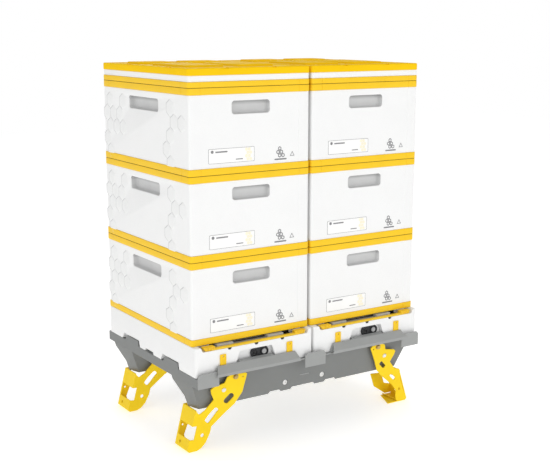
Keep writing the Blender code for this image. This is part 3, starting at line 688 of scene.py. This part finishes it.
def foam_base():
    """Base with its cavity, entrance, vent, and notches for the stand's tabs."""
    front, rear = BASE_LOW.y, BASE_HIGH.y
    bottom, top = BASE_LOW.z, BASE_HIGH.z
    mid, half = (front + rear) / 2, (rear - front) / 2
    body = soft_prism("foam_base", lambda g: rounded(BOX_X / 2 + g, half + g, CORNER_R + g, 0.0, mid),
                      "z", bottom, top, 1.2)
    tools = [
        prism("cavity", rounded(155.0, 231.0, 6.0), "z", -68.0, PAST),
        prism("recess", eased([(-56.0, -29.0), (56.0, -29.0), (80.0, -95.0), (-80.0, -95.0)], 3.0),
              "y", front - PAST, RECESS_Y),
        prism("tunnel", polygon(11.0, 24, BEZEL_X - DISC_TRAVEL, BEZEL_Z), "y", RECESS_Y - 2.0,
              VENT_BACK_Y),
        prism("ledge", [(-188.0, PAST), (-180.0, -13.5), (184.0, -13.5), (192.0, PAST)], "y",
              front - PAST, -262.0),
        prism("vent", [(-125.0, -9.0), (115.0, -9.0), (115.0, PAST), (-125.0, PAST)], "y",
              -266.0, VENT_BACK_Y)]
    for nx in DRAIN_X:
        tools.append(prism("notch", [(nx - 8.0, -12.0), (nx + 8.0, -12.0), (nx + 4.0, -19.5),
                                     (nx - 4.0, -19.5)], "y", front - PAST, front + 8.0))
    for side in (-1, 1):
        edge = side * BOX_X / 2
        x0, x1 = sorted((edge - side * 12.0, edge + side * PAST))
        for outline in SIDE_NOTCHES:
            tools.append(prism("notch", eased(outline, 3.0), "x", x0, x1))
    return painted(boolean(body, tools), FOAM)


def vent_front():
    """Rail along the vent, with a ribbed wedge at each end."""
    bar = prism("bar", eased([(-301.5, -13.0), (-301.5, -9.0), (-297.0, -7.6), (-290.0, -7.6),
                              (-290.0, -13.0)], 0.8), "x", -150.0, 154.0)
    parts = [bar]
    for x0, x1, tip in ((-138.0, -170.0, -176.0), (142.0, 174.0, 180.0)):
        outline = [(x0, -13.0), (x1, -13.0), (tip, -1.6), (x0, -1.6)]
        parts.append(prism("wedge", eased(outline, 1.0), "y", -299.6, -283.0))
        step = 1 if x1 > x0 else -1
        for k in range(6):
            x = x0 + step * (4.0 + k * 5.4)
            outline = [(x - 1.2, -12.2), (x + 1.2, -12.2), (x + 1.2, -1.3), (x - 1.2, -1.3)]
            parts.append(prism("rib", eased(outline, 0.6, 2), "y", -301.6, -283.6))
    return painted(join("vent_front", parts), CLIP)


def vent_shade_lining():
    """Dark lining painted round the vent's ledge as the shade inside it, with a dark plug in each
    notch below it.
    """
    left, right = -137.0, 141.0
    near, far = -264.0, -261.5
    # sill, lintel and cheeks are dark sheets that paint the shade inside the vent
    parts = [prism("sill", [(-290.2, -13.8), (-262.2, -13.8), (-262.2, -13.0), (-290.2, -13.0)],
                   "x", left, right),
             prism("lintel", [(near, -13.4), (far, -13.4), (far, -9.2), (near, -9.2)],
                   "x", left, right)]
    for a, b in ((left, -125.4), (115.4, right)):
        parts.append(prism("cheek", [(a, -13.2), (b, -13.2), (b, -0.7), (a, -0.7)], "y", near, far))
    for nx in DRAIN_X:
        parts.append(prism("plug", eased([(nx - 7.4, -13.3), (nx + 7.4, -13.3), (nx + 3.8, -19.2),
                                          (nx - 3.8, -19.2)], 0.8), "y", -300.2, -293.6))
    return painted(join("vent_shade_lining", parts), BEZEL)


def vent_strip():
    """Sliding strip under the vent, with two upright plates that close it."""
    front = -289.0
    strip = prism("strip", eased([(front, -12.5), (-268.0, -12.5), (-268.0, -10.0),
                                  (front, -10.0)], 0.5), "x", -127.0, 109.0)
    plates = []
    for a, b in ((-125.0, -70.0), (50.0, 105.0)):
        plates.append(prism("plate", eased([(a, -11.0), (b, -11.0), (b, -1.8), (a, -1.8)], 1.2),
                            "y", front, -270.0))
    return painted(boolean(strip, plates, "UNION"), SHUTTER)


def latch_tab():
    """Flat locking tab with a hole."""
    def outline(grow):
        return rounded(10.2 + grow, 23.0 + grow, 2.4, 0.0, -52.0, 4)
    tab = soft_prism("latch", outline, "y", -305.6, -302.35, 0.8)
    hole = prism("hole", polygon(2.6, 20, 0.0, -34.5), "y", -310.0, -298.0)
    return painted(boolean(tab, [hole]), GUARD)


def entrance_frame():
    """Dark frame round the entrance, with the shutter's track and the bees' hole."""
    def outline(grow):
        return stadium(BEZEL_LEN + 2 * grow, BEZEL_H + 2 * grow, BEZEL_X, BEZEL_Z)
    body = soft_prism("bezel", outline, "y", -293.5, RECESS_Y - 0.35, 1.4)
    slot = prism("slot", stadium(BEZEL_LEN - 7.0, 2 * DISC_R + 1.8, BEZEL_X, BEZEL_Z), "y",
                 -300.0, -288.6)
    hole = prism("hole", polygon(9.0, 32, BEZEL_X - DISC_TRAVEL, BEZEL_Z), "y", -300.0, -280.0)
    return painted(boolean(body, [slot, hole]), BEZEL)


def entrance_disc():
    """Round shutter with a raised rim and boss, drawn round the origin."""
    flange = spun("flange", [(0.0, DISC_R - 0.4), (-0.4, DISC_R), (-2.6, DISC_R),
                             (-3.1, DISC_R - 0.5)], 40)
    boss = spun("boss", [(-2.0, 7.8), (-4.4, 7.6), (-5.0, 7.1), (-5.3, 6.2), (-4.7, 5.2),
                         (-4.7, 2.4), (-5.2, 1.6)], 40)
    flange.data.materials.append(BEZEL)
    boss.data.materials.append(SHUTTER)
    disc = join("disc", [flange, boss])
    disc.data.shade_smooth()
    disc.data.set_sharp_from_angle(angle=math.radians(32))
    return disc


def wire_screen(name, width, height, pitch, wire, round_screen=False):
    """Woven screen in the XZ plane, as crossing rods that pass over and under each other."""
    parts = []
    for run, across, length in (("x", height, width), ("z", width, height)):
        count = int(across / pitch)
        for k in range(count + 1):
            offset = -across / 2 + (k + 0.5) * across / (count + 1)
            half = length / 2
            if round_screen:
                half = math.sqrt(max(0.0, (length / 2) ** 2 - offset ** 2))
            if half < wire:
                continue
            steps = max(2, int(2 * half / pitch))
            loops = []
            for i in range(steps + 1):
                t = -half + 2 * half * i / steps
                lift = wire * 0.5 * (1 if (i + k + (run == "z")) % 2 else -1)
                section = [(lift + dy, offset + dz) for dy, dz in polygon(wire / 2, 6)]
                loops.append([(t, y, z) if run == "x" else (z, y, t) for y, z in section])
            parts.append(loft("wire", loops))
    return painted(join(name, parts), WIRE, 60.0)


def screw_head(name, r, h, mat):
    """Round head with a hexagon socket, facing -Y, its seat at 0."""
    profile = [(0.6, r * 0.96), (0.0, r), (-h * 0.45, r), (-h * 0.8, r * 0.88), (-h, r * 0.62)]
    head = spun(name, profile, 28)
    drive = prism("drive", polygon(r * 0.42, 6), "y", -h - 1.0, -h * 0.45)
    return painted(boolean(head, [drive]), mat)


# ---- making the hives --------------------------------------------------------------
def make_hives():
    """Draw each pattern once, and place its copies on both hives."""
    box = foam_box()
    guard_up = edge_guard("guard_lower", RIM_H)
    guard_down = flipped(guard_up, "guard_upper", RIM_H)
    roof_guard = edge_guard("guard_roof", ROOF_RIM_H)
    comb, card, mark = comb_relief(), name_card(), emblem()
    slab, cap = roof_slab(), roof_cap()
    base, vent, strip, tab = foam_base(), vent_front(), vent_strip(), latch_tab()
    bezel, disc = entrance_frame(), entrance_disc()
    grille = wire_screen("grille", 2 * 9.6, 2 * 9.6, 2.4, 0.7, round_screen=True)
    vent_screen = wire_screen("vent_screen", 239.0, 8.0, 1.9, 0.9)
    vent_shade, joint_band = vent_shade_lining(), joint_shade_band()
    level_pitch = (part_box("box_rim_lower_left_2")[0].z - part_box("box_rim_lower_left_1")[0].z) / MM
    for side in SIDES:
        x = HIVE_X[side]
        for level in LEVELS:
            tag = "%s_%d" % (side, level)
            at = (x, Y0, Z0 + (level - 1) * level_pitch)
            top = (x, Y0, at[2] + BOX_H - RIM_H)
            body = "box_" + tag
            put("foam_box_" + tag, box, body, "foam_white", "box_walls_" + tag, at=at)
            put("edge_guard_lower_" + tag, guard_up, body, "rim_yellow", "box_rim_lower_" + tag, at=at)
            put("edge_guard_upper_" + tag, guard_down, body, "rim_yellow", "box_rim_upper_" + tag,
                at=top)
            put("comb_relief_" + tag, comb, body, "foam_white", at=at)
            put("name_card_" + tag, card, body, "foam_white", at=at)
            put("emblem_" + tag, mark, body, "foam_white", at=at)
            put("joint_shade_band_" + tag, joint_band, body, "bezel_dark", at=(x, Y0, at[2] + BOX_H))
        roof, at = "roof_" + side, (x, Y0, Z0 + len(LEVELS) * level_pitch)
        put("roof_cap_" + side, cap, roof, "cover_yellow", "roof_cover_" + side, at=at)
        put("roof_slab_" + side, slab, roof, "foam_white", "roof_foam_" + side, at=at)
        put("roof_edge_guard_" + side, roof_guard, roof, "rim_yellow", "roof_rim_" + side, at=at)
        at, body = (x, Y0, Z0), "base_" + side
        put("foam_base_" + side, base, body, "foam_white", "base_body_" + side, at=at)
        put("vent_front_" + side, vent, body, "clip_yellow", "vent_rail_" + side, at=at)
        put("vent_shade_lining_" + side, vent_shade, body, "bezel_dark", at=at)
        put("vent_strip_" + side, strip, "vent_slide_" + side, "shutter_grey",
            "vent_slide_" + side, at=at)
        put("entrance_frame_" + side, bezel, body, "bezel_dark", "entrance_bezel_" + side, at=at)
        put("entrance_disc_" + side, disc, "entrance_shutter_" + side, "shutter_grey",
            "entrance_shutter_" + side, at=(x + BEZEL_X + DISC_TRAVEL, Y0 - 289.0, Z0 + BEZEL_Z))
        put("entrance_grille_" + side, grille, body, "bezel_dark",
            at=(x + BEZEL_X - DISC_TRAVEL, Y0 - 287.2, Z0 + BEZEL_Z))
        put("vent_screen_" + side, vent_screen, body, "bezel_dark", at=(x - 5.0, Y0 - 258.0, Z0 - 4.8))
        for end, lx in LATCH_X:
            put("latch_tab_%s_%s" % (side, end), tab, "latch_%s_%s" % (side, end), "rim_yellow",
                "base_latch_%s_%s" % (side, end), at=(x + lx, Y0, Z0))
    drop(box, guard_up, guard_down, roof_guard, comb, card, mark, slab, cap, base, vent, strip, tab,
         bezel, disc, grille, vent_screen, vent_shade, joint_band)


# ---- stand and legs ----------------------------------------------------------------
def make_stand():
    """Refine the stand's, legs' and bolts' CAD shapes, and add the beams' small fittings."""
    for name in ("stand_beam_front", "stand_beam_rear", "stand_rail_left", "stand_rail_right",
                 "stand_fascia_front", "stand_fascia_rear", "stand_rail_centre"):
        # the fascias take the lighter copy of the grey as painted light
        mat = STEEL_GREY_PAINTED_LIT if name.startswith("stand_fascia") else STEEL_GREY
        piece = refined(name + "_pressed", name, mat, 0.9)
        tie(piece, "stand", "stand_grey", name)
    for end in ENDS:
        for side in SIDES:
            tag = end + "_" + side
            leg = refined("leg_plate_" + tag, "leg_" + tag, STEEL_YELLOW, 0.8)
            tie(leg, "leg_" + tag, "leg_yellow", "leg_" + tag)
            screw = refined("lock_bolt_" + tag, "lock_screw_" + tag, ZINC, 0.4)
            tie(screw, "leg_" + tag, "bolt_steel", "lock_screw_" + tag)
            bolt = refined("hinge_bolt_" + tag, "pivot_bolt_" + tag, PLATED, 0.4)
            tie(bolt, "stand", "bolt_steel", "pivot_bolt_" + tag)
    beam_bolt = screw_head("beam_bolt", 8.4, 4.0, ZINC)
    bar = painted(soft_prism("slot_bar", lambda g: stadium(36.0 + 2 * g, 3.0 + 2 * g), "y", -1.2,
                             4.5, 0.5), STEEL_GREY_PAINTED_LIT)
    for end in ENDS:
        # the beam's front wall leans, so the lower bolts lie further back than the bar
        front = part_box("stand_beam_" + end)[0].y / MM
        for k, x in enumerate((-70.0, 70.0)):
            put("beam_bolt_%s_%d" % (end, k), beam_bolt, "stand", "bolt_steel",
                at=(x, front + 24.6, Z0 - 176.5))
        put("beam_bar_" + end, bar, "stand", "bolt_steel", at=(0.0, front + 17.6, Z0 - 161.0))
    drop(beam_bolt, bar)


# ---- floor, lights and camera ------------------------------------------------------
def make_floor():
    """Wide pale floor that glows a little, so that it meets the background evenly."""
    reach, z = 9000.0, -0.5
    floor = build("floor", [(-reach, -reach, z), (reach, -reach, z), (reach, reach, z),
                            (-reach, reach, z)], [(0, 1, 2, 3)])
    mat = surface("floor_pale", (0.93, 0.93, 0.93), 0.75, mottle=0.004, mottle_scale=0.6,
                  grain=0.02, grain_scale=120.0, specular=0.2)
    shader = mat.node_tree.nodes["Principled BSDF"]
    shader.inputs["Emission Color"].default_value = (1.0, 1.0, 1.0, 1.0)
    shader.inputs["Emission Strength"].default_value = 0.42
    painted(floor, mat)


def area_light(name, where, target, size, power):
    """Round soft light, aimed at a target. Places and size are metres, power is watts."""
    data = bpy.data.lights.new(name, "AREA")
    data.shape = "DISK"
    data.size = size
    data.energy = power
    lamp = bpy.data.objects.new(name, data)
    lamp.location = where
    lamp.rotation_mode = "QUATERNION"
    lamp.rotation_quaternion = (Vector(target) - Vector(where)).to_track_quat("-Z", "Y")
    bpy.context.scene.collection.objects.link(lamp)


def make_lights():
    """Even studio light, on a background that the camera sees as white."""
    world = bpy.data.worlds.new("studio")
    world.use_nodes = True
    tree = world.node_tree
    soft = tree.nodes["Background"]
    soft.inputs["Color"].default_value = (1.0, 1.0, 1.0, 1.0)
    soft.inputs["Strength"].default_value = 0.63
    wall = node_of(tree, "ShaderNodeBackground", Color=(1.0, 1.0, 1.0, 1.0), Strength=1.0)
    seen = tree.nodes.new("ShaderNodeLightPath")
    mix = tree.nodes.new("ShaderNodeMixShader")
    tree.links.new(seen.outputs["Is Camera Ray"], mix.inputs["Fac"])
    tree.links.new(soft.outputs["Background"], mix.inputs[1])
    tree.links.new(wall.outputs["Background"], mix.inputs[2])
    tree.links.new(mix.outputs["Shader"], tree.nodes["World Output"].inputs["Surface"])
    bpy.context.scene.world = world
    bpy.context.scene.view_settings.view_transform = "Standard"
    middle = (0.0, 0.0, 0.6)
    area_light("key", (0.6, -4.6, 1.7), middle, 2.6, 38.0)
    area_light("fill", (-4.4, -1.2, 1.5), middle, 2.6, 23.0)
    area_light("back", (1.6, 4.2, 2.4), middle, 2.4, 24.0)
    area_light("top", (0.3, 0.2, 3.6), middle, 2.6, 7.0)
    area_light("low", (-3.0, -2.6, 0.35), (0.0, 0.0, 0.12), 1.2, 5.0)


CAMERA_AT = (-1.80002, -2.80999, 1.23284)        # metres
CAMERA_YAW, CAMERA_DOWN, CAMERA_ROLL = -33.29, 11.01, 0.077      # degrees
CAMERA_LENS = 68.92


def make_camera():
    """Camera at the viewing angle, given by its turn, its tilt down and its roll."""
    data = bpy.data.cameras.new("camera")
    data.sensor_width = 36.0
    data.lens = CAMERA_LENS
    data.clip_end = 60.0
    camera = bpy.data.objects.new("camera", data)
    yaw, down = math.radians(CAMERA_YAW), math.radians(CAMERA_DOWN)
    back = Vector((math.sin(yaw) * math.cos(down), -math.cos(yaw) * math.cos(down), math.sin(down)))
    camera.location = CAMERA_AT
    camera.rotation_mode = "QUATERNION"
    camera.rotation_quaternion = (-back).to_track_quat("-Z", "Y")
    camera.rotation_quaternion.rotate(Quaternion(back, math.radians(CAMERA_ROLL)))
    bpy.context.scene.collection.objects.link(camera)
    bpy.context.scene.camera = camera


make_camera()
make_hives()
make_stand()
make_floor()
make_lights()
